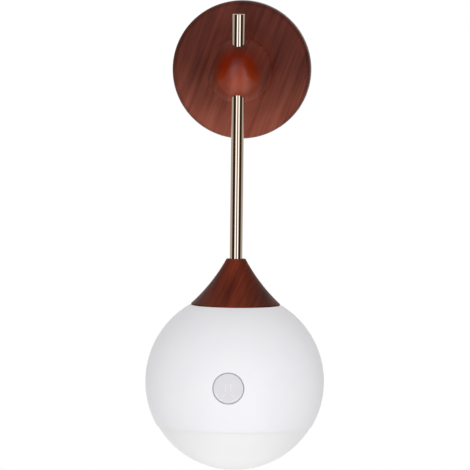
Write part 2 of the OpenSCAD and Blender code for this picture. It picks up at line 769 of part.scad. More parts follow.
// Control board at the back, with the switch and the charge port
module control_board() color("#1e5b3a") at_globe() difference() {
    block(
        [-control_w / 2, control_face - board_t, -control_h / 2],
        [control_w / 2, control_face, control_h / 2]
    );
    sides(control_screw_x) to_back() slab(pilot_r, 0, globe_r);
}
module control_screws() color("#c9ccd1") at_globe() sides(control_screw_x) to_back()
    translate([0, 0, control_face - board_t]) mirror([0, 0, 1]) screw(board_t + screw_bite);
module slide_switch() color("#1b1b1d") at_globe() translate([0, control_face, switch_z]) difference() {
    block([-switch_w / 2, 0, -switch_h / 2], [switch_w / 2, switch_t, switch_h / 2]);
    block(
        [-slider_travel - neck_w / 2 - gap, switch_t - switch_slot, -neck_hh / 2 - gap],
        [slider_travel + neck_w / 2 + gap, switch_t + cut, neck_hh / 2 + gap]
    );
}
module charge_port() color("#c2c4c8") at_globe() translate([0, control_face, -port_z]) to_back() {
    difference() {
        stadium(port_w, port_h, port_l);
        translate([0, 0, port_floor]) stadium(port_w - 2 * port_wall, port_h - 2 * port_wall, port_l);
    }
    translate([-tongue_w / 2, -port_wall, port_floor - eps])
        cube([tongue_w, 2 * port_wall, port_l - port_floor - tongue_short]);
}
module mode_slider() color("#f1f0f4") at_globe() translate([0, 0, switch_z]) to_back() {
    base = knob_floor + gap / 2;
    foot = control_face + switch_t - switch_slot + gap;
    difference() {
        translate([0, 0, base]) stadium(knob_l, knob_h, knob_t);
        for (s = [-1:1]) translate([s * rib_step - rib_w / 2, -knob_h, base + knob_t - rib_depth])
            cube([rib_w, 2 * knob_h, rib_depth + cut]);
    }
    translate([-neck_w / 2, -neck_hh / 2, foot]) cube([neck_w, neck_hh, base - foot + eps]);
    translate([-neck_w / 2, -neck_hh / 2 - hook_out - gap, panel_in - gap / 2 - hook_t])
        cube([neck_w, neck_hh + 2 * (hook_out + gap), hook_t]);
}

// Inner wires
module battery_lead() color("#b3261e") at_globe() wire(battery_route);
module led_lead() color("#22252b") at_globe() wire(led_route);
module sensor_lead() color("#d8d2c0") at_globe() wire(sensor_route);

base_disc();
seat_ring();
base_magnet();
base_cover();
cover_screws();
adhesive_pad();
pivot_ball();
ball_slug();
rod();
cone_cap();
rod_washer();
rod_nut();
cone_screws();
upper_shell();
diffuser();
pir_lens();
sensor_housing();
sensor_board();
pir_sensor();
light_sensor();
sensor_screws();
chassis();
chassis_screws();
battery();
battery_strap();
strap_screws();
led_board();
leds();
led_screws();
control_board();
control_screws();
slide_switch();
charge_port();
mode_slider();
battery_lead();
led_lead();
sensor_lead();
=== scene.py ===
"""Looks of a wall night light: a white globe on a polished rod, held to a wooden disc by a ball joint."""

import json
import math

import bmesh
import bpy
from mathutils import Matrix, Vector


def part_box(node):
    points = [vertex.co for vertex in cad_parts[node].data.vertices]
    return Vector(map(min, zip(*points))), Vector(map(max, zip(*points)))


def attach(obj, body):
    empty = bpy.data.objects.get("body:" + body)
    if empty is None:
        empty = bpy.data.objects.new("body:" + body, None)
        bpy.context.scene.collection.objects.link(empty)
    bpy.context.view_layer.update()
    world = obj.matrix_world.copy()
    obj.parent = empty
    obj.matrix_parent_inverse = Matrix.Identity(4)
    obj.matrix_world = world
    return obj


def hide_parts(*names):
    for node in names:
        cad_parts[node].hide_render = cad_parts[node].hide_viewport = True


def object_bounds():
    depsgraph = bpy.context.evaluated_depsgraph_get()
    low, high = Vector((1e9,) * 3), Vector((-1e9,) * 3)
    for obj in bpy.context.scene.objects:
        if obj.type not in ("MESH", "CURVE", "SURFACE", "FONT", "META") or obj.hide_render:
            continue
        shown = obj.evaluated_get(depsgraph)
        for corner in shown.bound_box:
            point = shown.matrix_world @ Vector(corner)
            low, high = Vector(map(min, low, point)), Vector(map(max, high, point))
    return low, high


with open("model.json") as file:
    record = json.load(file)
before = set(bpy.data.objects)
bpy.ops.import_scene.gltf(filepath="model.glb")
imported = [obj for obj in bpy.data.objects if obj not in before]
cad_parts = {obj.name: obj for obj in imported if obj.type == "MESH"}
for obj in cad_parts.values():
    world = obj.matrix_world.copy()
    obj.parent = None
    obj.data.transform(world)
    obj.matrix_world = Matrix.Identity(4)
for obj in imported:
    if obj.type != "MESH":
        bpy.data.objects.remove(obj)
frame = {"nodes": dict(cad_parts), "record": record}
cad_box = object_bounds()
MM = 0.001

# Places and main sizes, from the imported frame
disc_low, disc_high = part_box("base_disc")
pad_low, pad_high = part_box("adhesive_pad")
seat_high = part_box("seat_ring")[1]
cover_low, cover_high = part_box("base_cover")
magnet_low, magnet_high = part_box("base_magnet")
ball_low, ball_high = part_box("pivot_ball")
slug_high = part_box("ball_slug")[1]
rod_low, rod_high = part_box("rod")
cone_low, cone_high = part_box("cone_cap")
shell_low, shell_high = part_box("upper_shell")
bowl_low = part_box("diffuser")[0]
window_low, window_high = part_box("pir_lens")

AXIS_Y = (rod_low.y + rod_high.y) / 2
ROD_R = rod_high.x
BALL_R = ball_high.x
BALL_Y = ball_low.y + BALL_R
DISC_R = disc_high.x
GLOBE_R = shell_high.x
GLOBE = Vector((0, AXIS_Y, (window_low.z + window_high.z) / 2))
NECK_Z = cone_low.z - GLOBE.z
SEAM_Z = shell_low.z - GLOBE.z
BOWL_R = GLOBE.z - bowl_low.z

# Sizes of the base, the ball and the rod, in metres: roundings, fits and pockets
FIT = 0.1 * MM
DISC_EDGE = 3 * MM
DISC_BEVEL = 0.6 * MM
SEAT_DEPTH = 3.5 * MM
PAD_EDGE = 0.2 * MM
SLUG_FRONT = 7.5 * MM
BORE_FIT = 0.05 * MM
ROD_EDGE = 0.4 * MM
GROOVE_HALF = 1.2 * MM
GROOVE_DEPTH = 0.6 * MM
STUD_R = 2.5 * MM

# Sizes of the cone
CONE_TOP_R = 5 * MM
CONE_SAG = 1.15 * MM
CONE_EDGE = 0.4 * MM
CONE_LIP = 0.7 * MM
CONE_FOOT = 0.2 * MM
CONE_WALL = 3 * MM
CONE_WEB = 3 * MM
ROD_GRIP = 6 * MM

# Sizes of the globe: walls, seam, and the openings at its back
SOFT_EDGE = 0.3 * MM
SEAM_EDGE = 0.05 * MM
SEAM_GAP = 0.03 * MM
SHELL_WALL = 2 * MM
NECK_T = 2.4 * MM
NECK_HOLE_R = 8 * MM
BEAD_R = 36.14 * MM
BEAD_H = 0.8 * MM
BOWL_WALL = 2 * MM
BOWL_STEP = 3 * MM
LIP_T = 1.5 * MM
LIP_H = 2.4 * MM
LIP_FIT = 0.15 * MM
PANEL_IN = 41.6 * MM
PANEL_R = 12 * MM
KNOB_FLOOR = 43.6 * MM
SWITCH_Z = 5 * MM
PORT_Z = -5 * MM
SLIDER_POCKET = (9.6 * MM, 4 * MM)
SLIDER_SLOT = (6.8 * MM, 2.2 * MM)
PORT_MOUTH = (9.2 * MM, 3.5 * MM)

# Sizes of the sensor window, and the lines between its segments
LENS_R = 7.5 * MM
LENS_GAP = 0.4 * MM
LENS_RIM = 0.25 * MM
LENS_T = 0.9 * MM
LENS_SINK = 0.15 * MM
SKIRT_T = 0.9 * MM
HOLE_RIM = 0.25 * MM
DRILL_PAST = 2 * MM
RIDGE_R = 0.16 * MM
RIDGE_SINK = 0.35 * RIDGE_R
UPRIGHT_X, UPRIGHT_TOP, UPRIGHT_LOW = 1.33 * MM, 2.4 * MM, -1.6 * MM
SPREAD_X, SPREAD_TOP, SPREAD_RUN = 1.35 * MM, -2.85 * MM, 1.75 * MM
UPRIGHT_STEPS, SPREAD_STEPS = 8, 6
RIM_LINE_R = 6.55 * MM
RIM_LINE_SPAN = (200, 340)

# The photograph's view: angles in degrees, lengths in metres, focal length in pixels, sensor in millimetres
PICTURE = 470
VIEW_AZIMUTH = 4.05
VIEW_ELEVATION = 3.3
VIEW_ROLL = 0.64
VIEW_DISTANCE = 3.0
VIEW_FOCAL = 5961
VIEW_SIDE = -0.00065
VIEW_DROP = -0.0826
SENSOR = 36

# Kinds of node that come up often, and the settings that go with them
MATHS = "ShaderNodeMath"
RANGE = "ShaderNodeMapRange"
MIX = "ShaderNodeMix"
NOISE = "ShaderNodeTexNoise"
SMOOTH = {"interpolation_type": "SMOOTHSTEP"}
COLOURS = {"data_type": "RGBA"}


def linear(code):
    """Linear colour of an sRGB hex code."""
    parts = [int(code[i:i + 2], 16) / 255 for i in (1, 3, 5)]
    return [c / 12.92 if c <= 0.04045 else ((c + 0.055) / 1.055) ** 2.4 for c in parts] + [1]


def feed(tree, made, inputs):
    """Set each socket of a node to a value, or link it to the node or output that feeds it."""
    pairs = inputs.items() if isinstance(inputs, dict) else enumerate(inputs)
    for key, value in pairs:
        if isinstance(value, bpy.types.Node):
            value = next(output for output in value.outputs if output.enabled)
        if isinstance(value, bpy.types.NodeSocket):
            tree.links.new(value, made.inputs[key])
        else:
            made.inputs[key].default_value = value


def node(tree, kind, inputs=(), **settings):
    """Add a node with its settings; inputs are given by socket name, or in the sockets' order."""
    made = tree.nodes.new(kind)
    for name, value in settings.items():
        setattr(made, name, value)
    feed(tree, made, inputs)
    return made


# Materials
def blank(name, **sockets):
    """A new material with its shader's plain sockets set; returns the material, its tree and its shader."""
    made = bpy.data.materials.new(name)
    made.use_nodes = True
    tree = made.node_tree
    shader = tree.nodes["Principled BSDF"]
    feed(tree, shader, {key.replace("_", " "): value for key, value in sockets.items()})
    return made, tree, shader


def millimetres(tree, turn=(0, 0, 0), stretch=(1, 1, 1), shift=(0, 0, 0)):
    """Object coordinates in millimetres, turned by degrees and then drawn out along each axis."""
    place = node(tree, "ShaderNodeTexCoord")
    turned_place = node(tree, "ShaderNodeMapping", {
        "Vector": place.outputs["Object"],
        "Rotation": [math.radians(a) for a in turn],
        "Scale": (1 / MM, 1 / MM, 1 / MM),
    })
    return node(tree, "ShaderNodeMapping", {
        "Vector": turned_place,
        "Location": shift,
        "Scale": [1 / s for s in stretch],
    })


def places(tree, y=0, z=0):
    """Millimetres along x, y and z from a point in the middle plane."""
    return node(tree, "ShaderNodeSeparateXYZ", [millimetres(tree, shift=(0, -y, -z))]).outputs


def slant(tree, first, second):
    """Length of the slanting side over two upright ones."""
    squared = node(tree, MATHS, (first, first), operation="MULTIPLY")
    total = node(tree, MATHS, (second, second, squared), operation="MULTIPLY_ADD")
    return node(tree, MATHS, [total], operation="SQRT")


def painted_light_and_shade(tree, colour, *zones):
    """Colour made paler or darker by zones of painted light and painted shade: a measure, where its change
    starts and stops, and two levels.
    """
    for zone in zones:
        level = node(tree, RANGE, zone, **SMOOTH)
        colour = node(tree, "ShaderNodeVectorMath", {0: colour, "Scale": level}, operation="SCALE")
    return colour


# The wood's figure in layers, broad to fine: size across, through and along in millimetres, noise, weight
FIGURE_LAYERS = (
    ((14, 40, 40), {"Detail": 2}, 1),
    ((5.5, 40, 110), {"Detail": 3, "Distortion": 0.4}, 1),
    ((1.9, 30, 55), {"Detail": 4, "Roughness": 0.6}, 0.8),
    ((0.55, 6, 16), {"Detail": 2}, 0.35),
)
FIGURE_SPAN = (1.3, 1.85)
# Lean of the streaks in degrees, where in the wood the block was cut, and the figure's depth
DISC_FIGURE = (-20, (25, 0, 26), 100)
CONE_FIGURE = (-22, (77, 7, 68), 1)


def wood_streaks(tree, lean, shift, depth):
    """Long streaks that lean across the wood: the share of the lighter tone, and the finest lines alone.

    depth says how many times further than usual the figure runs straight back through the block.
    """
    grain = 0
    for (across, through, along), settings, weight in FIGURE_LAYERS:
        place = millimetres(tree, (0, lean, 0), (across, through * depth, along), shift)
        layer = node(tree, NOISE, {"Vector": place, "Scale": 1, **settings})
        grain = node(tree, MATHS, (layer, weight, grain), operation="MULTIPLY_ADD")
    share = node(tree, RANGE, (grain, *FIGURE_SPAN))
    finest = layer
    return share, finest


def wood_pores(tree, lines):
    """Open pores along the finest lines, as a shallow relief."""
    return node(tree, "ShaderNodeBump", {"Height": lines, "Strength": 0.12, "Distance": 0.05 * MM})


# Tones of the disc's wood, darker and lighter: a shaded copy for its upper half and a copy lit from below for
# its foot, and its zones of painted light and painted shade: millimetres, then levels
UPPER_SHADED_TONES = ("#421910", "#642c20")
LOWER_LIT_TONES = ("#7a392a", "#9f5845")
LIT_HEIGHT = (6, -38)
PAINTED_LIGHT_RING = (22, 17, 1, 1.28)
PAINTED_SHADE_RIM = (32.5, 35, 1, 0.8)
# Tones of the cone, its painted light at the front and painted shade at the sides by the share of the way
# from front to side, and the levels at its foot and top
CONE_TONES = ("#48160b", "#702d19")
CONE_SIDE_SHADE = (0.05, 0.8, 1.1, 0.66)
CONE_RISE = (1.05, 1.3)


def disc_tone(tree, share):
    """Colour of the disc's block: painted shade makes its upper half darker, painted light from below makes
    it paler towards its foot.
    """
    shaded, lit = (
        node(tree, MIX, {"Factor": share, "A": linear(dark), "B": linear(light)}, **COLOURS)
        for dark, light in (UPPER_SHADED_TONES, LOWER_LIT_TONES))
    lower = node(tree, RANGE, (places(tree)["Z"], *LIT_HEIGHT), **SMOOTH)
    return node(tree, MIX, {"Factor": lower, "A": shaded, "B": lit}, **COLOURS)


def disc_wood():
    """Stained hardwood under satin lacquer, with painted light next to the ball and painted shade at its rim.
    """
    made, tree, shader = blank("Stained hardwood of the disc", Roughness=0.42, Specular_IOR_Level=0.17)
    share, lines = wood_streaks(tree, *DISC_FIGURE)
    place = places(tree)
    radius = slant(tree, place["X"], place["Z"])
    feed(tree, shader, {
        "Base Color": painted_light_and_shade(tree, disc_tone(tree, share), (radius, *PAINTED_LIGHT_RING), (radius, *PAINTED_SHADE_RIM)),
        "Normal": wood_pores(tree, lines),
    })
    return made


def cone_wood():
    """The same hardwood turned to a cone, with painted light down its front and its back, painted shade
    towards its sides, and paler towards its top.
    """
    made, tree, shader = blank("Stained hardwood of the cone", Roughness=0.45, Specular_IOR_Level=0.1)
    share, lines = wood_streaks(tree, *CONE_FIGURE)
    place = places(tree, y=AXIS_Y / MM)
    sideways = node(tree, MATHS, [place["X"]], operation="ABSOLUTE")
    side = node(tree, MATHS, (sideways, slant(tree, place["X"], place["Y"])), operation="DIVIDE")
    dark, light = CONE_TONES
    tone = node(tree, MIX, {"Factor": share, "A": linear(dark), "B": linear(light)}, **COLOURS)
    rise = (place["Z"], cone_low.z / MM, cone_high.z / MM, *CONE_RISE)
    feed(tree, shader, {
        "Base Color": painted_light_and_shade(tree, tone, (side, *CONE_SIDE_SHADE), rise),
        "Normal": wood_pores(tree, lines),
    })
    return made


# Tones of the ball's red, a shaded copy for its upper half and a copy lit from below for its lower half, and
# its zones of painted light and painted shade: millimetres, then levels
UPPER_SHADED_RED = ("#681500", "#751f02")
LOWER_LIT_RED = ("#862c08", "#933611")
RED_HEIGHT = (3, -8)
POLE_Z = -1.5
POLE_PAINTED_LIGHT = (3, 9, 1.1, 0.88)
RIGHT_SHADE = (1, 8, 1, 0.9)
LIMB_PAINTED_LIGHT = (11, 16.2, 1, 1.3)
EDGE_PAINTED_LIGHT = (15.2, 16.5, 1, 1.22)
# Where the red starts to fade and where it ends: by height, in millimetres from the pole
RED_START = (1, 9, 8.8, 8.4)
RED_STOP = (2, 9, 12.4, 14.2)
# The gloss ends near the pole at the sides, further out above, furthest below; levels go from gloss to dull
GLOSS_HEIGHT = (0, 8)
GLOSS_UPPER = (-2, 2, 1, 0.55)
GLOSS_START = (2.8, 8.2)
GLOSS_STOP = (7, 12.6)
GLOSS_LEVELS = (0.64, 0.05)
GLOSS_ROUGHNESS = (0.34, 0.5)


def lacquered_ball():
    """Ball of the disc's wood: a red gloss round its front pole, with painted light at the pole, painted
    shade to its right and painted light from below in its lower half; beyond it duller, in the disc's tones
    made paler towards its edge by painted light.
    """
    made, tree, shader = blank("Gloss lacquer on turned wood")
    share = wood_streaks(tree, *DISC_FIGURE)[0]
    place = places(tree)
    upright = node(tree, MATHS, [place["Z"]], operation="ABSOLUTE")
    radius = slant(tree, place["X"], place["Z"])
    away = slant(tree, place["X"], places(tree, z=POLE_Z)["Z"])

    upper, lower = (
        node(tree, MIX, {"Factor": share, "A": linear(dark), "B": linear(light)}, **COLOURS)
        for dark, light in (UPPER_SHADED_RED, LOWER_LIT_RED))
    height = node(tree, RANGE, (place["Z"], *RED_HEIGHT), **SMOOTH)
    red = node(tree, MIX, {"Factor": height, "A": upper, "B": lower}, **COLOURS)
    # Painted light round the pole and painted shade to its right, on the red
    lit_red = painted_light_and_shade(tree, red, (away, *POLE_PAINTED_LIGHT), (place["X"], *RIGHT_SHADE))
    # Painted light on the disc's tones towards the ball's edge, against its shading
    lit_edge = painted_light_and_shade(tree, disc_tone(tree, share), (radius, *LIMB_PAINTED_LIGHT), (radius, *EDGE_PAINTED_LIGHT))
    start = node(tree, RANGE, (place["Z"], *RED_START), **SMOOTH)
    stop = node(tree, RANGE, (upright, *RED_STOP), **SMOOTH)
    outer = node(tree, RANGE, (away, start, stop), **SMOOTH)

    beyond = node(tree, RANGE, (upright, *GLOSS_HEIGHT), **SMOOTH)
    above = node(tree, RANGE, (place["Z"], *GLOSS_UPPER), **SMOOTH)
    level = node(tree, MATHS, (beyond, above), operation="MULTIPLY")
    first, last = (
        node(tree, RANGE, (level, 0, 1, *reaches), **SMOOTH) for reaches in (GLOSS_START, GLOSS_STOP))
    dull = node(tree, RANGE, (away, first, last), **SMOOTH)
    feed(tree, shader, {
        "Base Color": node(tree, MIX, {"Factor": outer, "A": lit_red, "B": lit_edge}, **COLOURS),
        "Specular IOR Level": node(tree, RANGE, (dull, 0, 1, *GLOSS_LEVELS), **SMOOTH),
        "Roughness": node(tree, RANGE, (dull, 0, 1, *GLOSS_ROUGHNESS), **SMOOTH),
    })
    return made


# The part of a noise's range that most of it lies in
NOISE_SPAN = (0.3, 0.7)


def polished_nickel():
    """Drawn rod, warm nickel plate, polished: a clear mirror with faint draw lines along it.

    Real draw lines are too fine to show, so these are drawn coarser.
    """
    made, tree, shader = blank("Polished warm nickel", Metallic=1)
    draw = node(tree, NOISE, {
        "Vector": millimetres(tree, stretch=(0.35, 0.35, 30)), "Scale": 1, "Detail": 2})
    colour = node(tree, MIX, {"Factor": draw, "A": linear("#e3d6c8"), "B": linear("#e9dccf")}, **COLOURS)
    feed(tree, shader, {
        "Base Color": colour,
        "Roughness": node(tree, RANGE, (draw, *NOISE_SPAN, 0.03, 0.06)),
    })
    return made


def moulded(name, first, second, grit, roughness, bump=0.05, patch=9, **sockets):
    """Moulded plastic or rubber: a slight cloudiness over some millimetres and a fine spark-eroded grit.

    Real grit is too fine to show, so it is drawn coarser: its size is given in millimetres.
    """
    made, tree, shader = blank(name, **sockets)
    cloud, grain = (
        node(tree, NOISE, {"Vector": millimetres(tree, stretch=[size] * 3), "Scale": 1, "Detail": 2})
        for size in (patch, grit))
    colour = node(tree, MIX, {"Factor": cloud, "A": linear(first), "B": linear(second)}, **COLOURS)
    feed(tree, shader, {
        "Base Color": colour,
        "Roughness": node(tree, RANGE, (grain, *NOISE_SPAN, roughness - 0.05, roughness + 0.05)),
        "Normal": node(tree, "ShaderNodeBump", {"Height": grain, "Strength": bump, "Distance": 0.1 * MM}),
    })
    return made


def plated(name, first, second, roughness):
    """Small plated steel parts: bright, with cloudy zinc or nickel patches and fine tumbling marks.

    Both are drawn coarser than real ones, which are too fine to show.
    """
    made, tree, shader = blank(name, Metallic=1)
    patches = node(tree, "ShaderNodeTexVoronoi", {
        "Vector": millimetres(tree, stretch=[0.8] * 3), "Scale": 1})
    marks = node(tree, NOISE, {"Vector": millimetres(tree, stretch=[0.2] * 3), "Scale": 1, "Detail": 3})
    colour = node(tree, MIX, {"Factor": patches, "A": linear(first), "B": linear(second)}, **COLOURS)
    feed(tree, shader, {
        "Base Color": colour,
        "Roughness": node(tree, RANGE, (marks, *NOISE_SPAN, roughness - 0.06, roughness + 0.08)),
    })
    return made


def circuit_board(name, mask, trace, pitch):
    """Glass-fibre board under solder mask: copper tracks show as lighter lines on a fine weave."""
    made, tree, shader = blank(name, Roughness=0.32)
    cells = node(tree, "ShaderNodeTexBrick", {
        "Vector": millimetres(tree, (90, 0, 0), [pitch] * 3), "Scale": 1,
        "Color1": linear(mask), "Color2": linear(mask), "Mortar": linear(trace), "Mortar Size": 0.03,
        "Brick Width": 2.2, "Row Height": 0.7})
    weave = node(tree, NOISE, {"Vector": millimetres(tree, stretch=[0.3] * 3), "Scale": 1, "Detail": 1})
    feed(tree, shader, {
        "Base Color": cells,
        "Normal": node(tree, "ShaderNodeBump", {"Height": weave, "Strength": 0.1, "Distance": 0.05 * MM}),
    })
    return made


# Wood and metal that show in front
satin_wood = disc_wood()
flare_wood = cone_wood()
ball_lacquer = lacquered_ball()
nickel = polished_nickel()
# The globe: an opaque satin shell over a bowl that lets some light into its skin, so it looks softer
white_abs = moulded("White moulded ABS", "#f0eff3", "#f3f2f5", 0.5, 0.42, Specular_IOR_Level=0.35)
milky = moulded(
    "Milky polycarbonate", "#f0f0f0", "#f2f2f2", 0.6, 0.42, Specular_IOR_Level=0.35,
    Subsurface_Weight=0.3, Subsurface_Radius=(1, 1, 1), Subsurface_Scale=2 * MM)
# The sensor window: a greyer, waxy plastic, and ridges painted paler as a painted highlight along the lines
# between its segments
lens_plastic = moulded(
    "Sensor-grade polyethylene", "#dcdade", "#e0dfe2", 0.4, 0.42,
    Subsurface_Weight=0.2, Subsurface_Radius=(1, 1, 1), Subsurface_Scale=0.8 * MM)
ridge_highlight = moulded("Polyethylene ridges", "#f4f4f5", "#f6f6f7", 0.4, 0.4)
# Matt black covers and switch, chalky white inner pieces, a dull dark rubber ring and rough-faced foam
black_plastic = moulded("Black moulded ABS", "#17171a", "#1d1d20", 0.35, 0.5, 0.12)
inner_plastic = moulded("White inner polystyrene", "#e3e3e2", "#e8e8e7", 0.5, 0.5)
rubber = moulded("Friction rubber", "#1b1b1b", "#232322", 0.3, 0.75, 0.2)
foam = moulded("Adhesive foam", "#e9e7e0", "#f1efe9", 0.45, 0.85, 0.5, 3)
# Screws, nut, slug and metal cans in pale blue-grey zinc, and a smoother magnet that mirrors more
zinc = plated("Zinc-plated steel", "#b9bcc2", "#d5d8dc", 0.32)
magnet_plate = plated("Nickel-plated magnet", "#bfc1c4", "#d8d9da", 0.2)
# Inside the globe: glossy boards, matt yellow lamp chips, a shiny cell sleeve and satin wires
green_board = circuit_board("Green circuit board", "#0c4424", "#1d6b3c", 2.2)
white_board = circuit_board("White circuit board", "#e6e6e1", "#d3d3cc", 3)
chip = moulded("Lamp chip phosphor", "#e8c24a", "#f2d77e", 0.3, 0.45, 0.1, 0.8)
sleeve = moulded("Shrink sleeve of the cell", "#2767a4", "#2f78b8", 0.8, 0.28, 0.08, 12)
red_wire = moulded("Red wire sleeve", "#a82018", "#bb2a20", 0.5, 0.5)
dark_wire = moulded("Black wire sleeve", "#1d1f24", "#26282e", 0.5, 0.5)
pale_wire = moulded("White wire sleeve", "#d8d2c0", "#e4dfd0", 0.5, 0.5)

SLOT_FINISH = {
    "stained_wood": satin_wood, "ball_lacquer": ball_lacquer, "polished_nickel": nickel,
    "white_abs": white_abs, "milky_polycarbonate": milky, "lens_polyethylene": lens_plastic,
    "black_plastic": black_plastic, "white_inner_plastic": inner_plastic, "zinc_steel": zinc,
    "magnet_nickel": magnet_plate, "foam_tape": foam, "friction_rubber": rubber,
    "green_circuit_board": green_board, "white_circuit_board": white_board, "lamp_chip": chip,
    "cell_sleeve": sleeve, "wire_sleeve": red_wire,
}
WIRE_FINISH = {"led_lead": dark_wire, "sensor_lead": pale_wire}
for row in frame["record"]["subparts"]:
    cad = frame["nodes"][row["node"]]
    cad.data.materials.clear()
    cad.data.materials.append(WIRE_FINISH.get(row["node"], SLOT_FINISH[row["material_slot"]]))


# Meshes: the lathe's own radius, sides of turned pieces, and what counts as a double, sliver or sharp edge
LATHE_R = 10 * MM
FINE = 256
MEDIUM = 128
SMALL = 96
HALF_ROUND = 16
LATHE_WELD = 0.001 * MM
DOUBLE = 0.0005 * MM
SLIVER = 0.0002 * MM
SHARP = math.radians(32)


def add(name, data):
    """A new object in the scene."""
    made = bpy.data.objects.new(name, data)
    bpy.context.scene.collection.objects.link(made)
    return made


def start_tree(name, **inputs):
    """A new tree of geometry nodes; returns it, what its named inputs hand out, and their identifiers."""
    tree = bpy.data.node_groups.new(name, "GeometryNodeTree")
    sockets = [
        tree.interface.new_socket(key, in_out="INPUT", socket_type=kind) for key, kind in inputs.items()]
    tree.interface.new_socket("Piece", in_out="OUTPUT", socket_type="NodeSocketGeometry")
    return tree, node(tree, "NodeGroupInput").outputs, {s.name: s.identifier for s in sockets}


def end_tree(tree, shape, finish):
    """Make the shape real, give it its finish and hand it out."""
    real = node(tree, "GeometryNodeRealizeInstances", {"Geometry": shape})
    dressed = node(tree, "GeometryNodeSetMaterial", {"Geometry": real, "Material": finish})
    node(tree, "NodeGroupOutput", {"Piece": dressed})


def lathe_tree():
    """Turns a profile curve about the z axis, as a lathe does."""
    tree, given, names = start_tree(
        "lathe", Profile="NodeSocketGeometry", Sides="NodeSocketInt", Finish="NodeSocketMaterial")
    ring = node(tree, "GeometryNodeCurvePrimitiveCircle", {"Resolution": given["Sides"], "Radius": LATHE_R})
    level = node(tree, "GeometryNodeSetCurveNormal", {"Curve": ring}, mode="Z_UP")
    swept = node(tree, "GeometryNodeCurveToMesh", {"Curve": level, "Profile Curve": given["Profile"]})
    closed = node(tree, "GeometryNodeMergeByDistance", {"Geometry": swept, "Distance": LATHE_WELD})
    end_tree(tree, closed, given["Finish"])
    return tree, names


def ridge_tree():
    """Sweeps a thin round ridge along each line."""
    tree, given, names = start_tree(
        "ridges", Lines="NodeSocketGeometry", Radius="NodeSocketFloat", Finish="NodeSocketMaterial")
    section = node(tree, "GeometryNodeCurvePrimitiveCircle", {"Resolution": 12, "Radius": given["Radius"]})
    swept = node(tree, "GeometryNodeCurveToMesh", {
        "Curve": given["Lines"], "Profile Curve": section, "Fill Caps": True})
    end_tree(tree, swept, given["Finish"])
    return tree, names


LATHE = lathe_tree()
RIDGES = ridge_tree()


def settle(obj, name):
    """The evaluated result of obj as a plain mesh object; obj is removed."""
    bpy.context.view_layer.update()
    mesh = bpy.data.meshes.new_from_object(obj.evaluated_get(bpy.context.evaluated_depsgraph_get()))
    bpy.data.objects.remove(obj)
    mesh.name = name
    return add(name, mesh)


def tidy(obj):
    """Merge doubles, point the faces outwards and shade smooth up to an angle."""
    shape = bmesh.new()
    shape.from_mesh(obj.data)
    bmesh.ops.remove_doubles(shape, verts=shape.verts, dist=DOUBLE)
    bmesh.ops.dissolve_degenerate(shape, edges=shape.edges, dist=SLIVER)
    bmesh.ops.recalc_face_normals(shape, faces=shape.faces)
    shape.to_mesh(obj.data)
    shape.free()
    obj.data.shade_smooth()
    obj.data.set_sharp_from_angle(angle=SHARP)
    return obj


def grown(name, lines, closed, tool, place, **inputs):
    """The piece that a tool, a tree and its inputs' identifiers, makes of lines, moved to its place."""
    curve = bpy.data.curves.new(name, "CURVE")
    curve.dimensions = "3D"
    for line in lines:
        spline = curve.splines.new("POLY")
        spline.points.add(len(line) - 1)
        for point, spot in zip(spline.points, line):
            point.co = (*spot, 1)
        spline.use_cyclic_u = closed
    obj = add(name, curve)
    tree, names = tool
    step = obj.modifiers.new(tree.name, "NODES")
    step.node_group = tree
    for key, value in inputs.items():
        step[names[key]] = value
    made = settle(obj, name)
    made.data.transform(place)
    return tidy(made)


def turned(name, profile, finish, place, sides=FINE, ring=False):
    """A turned piece: profile is (radius, height) points from axis to axis, or a closed ring."""
    line = [(radius - LATHE_R, -height, 0) for radius, height in profile]
    return grown(name, [line], ring, LATHE, place, Sides=sides, Finish=finish)


def arc(centre, radius, start, stop, steps):
    """Profile points along an arc, angles in degrees."""
    angles = [math.radians(start + (stop - start) * i / steps) for i in range(steps + 1)]
    return [(centre[0] + radius * math.cos(a), centre[1] + radius * math.sin(a)) for a in angles]


def ball_edge(radius, plane, edge):
    """Rounding between a ball and a level plane: its centre, and the angle where it meets the ball."""
    height = plane - math.copysign(edge, plane)
    across = math.sqrt((radius - edge) ** 2 - height ** 2)
    return (across, height), math.degrees(math.atan2(height, across))


def boolean(obj, tool, operation="DIFFERENCE"):
    """Cut tool out of obj, or join it on; tool is removed."""
    name = obj.name
    step = obj.modifiers.new("cut", "BOOLEAN")
    step.operation = operation
    step.solver = "EXACT"
    step.object = tool
    made = settle(obj, name + "_cut")
    bpy.data.objects.remove(tool)
    made.name = name
    made.data.name = name
    return tidy(made)


def stadium(name, length, height, depth, finish, place):
    """A plate with half-round ends along x, its thickness along z from 0 to depth."""
    half = (length - height) / 2
    right, left = (
        arc((middle, 0), height / 2, first, first + 180, HALF_ROUND)
        for middle, first in ((half, -90), (-half, 90)))
    shape = bmesh.new()
    base = shape.faces.new([shape.verts.new((x, y, 0)) for x, y in right + left])
    raised = bmesh.ops.extrude_face_region(shape, geom=[base])["geom"]
    top = [part for part in raised if isinstance(part, bmesh.types.BMVert)]
    bmesh.ops.translate(shape, verts=top, vec=(0, 0, depth))
    mesh = bpy.data.meshes.new(name)
    shape.to_mesh(mesh)
    shape.free()
    mesh.materials.append(finish)
    mesh.transform(place)
    return tidy(add(name, mesh))


def dress(obj, body, slot, *nodes):
    """The piece rides on a body and stands for CAD nodes, which are hidden; slot is not used."""
    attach(obj, body)
    if nodes:
        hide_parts(*nodes)


OUT_OF_WALL = Matrix.Rotation(math.radians(90), 4, "X")
AT_AXIS = Matrix.Translation((0, AXIS_Y, 0))
AT_GLOBE = Matrix.Translation(GLOBE)
TO_FRONT = AT_GLOBE @ Matrix.Rotation(math.radians(90), 4, "X")
TO_BACK = AT_GLOBE @ Matrix.Rotation(math.radians(-90), 4, "X")


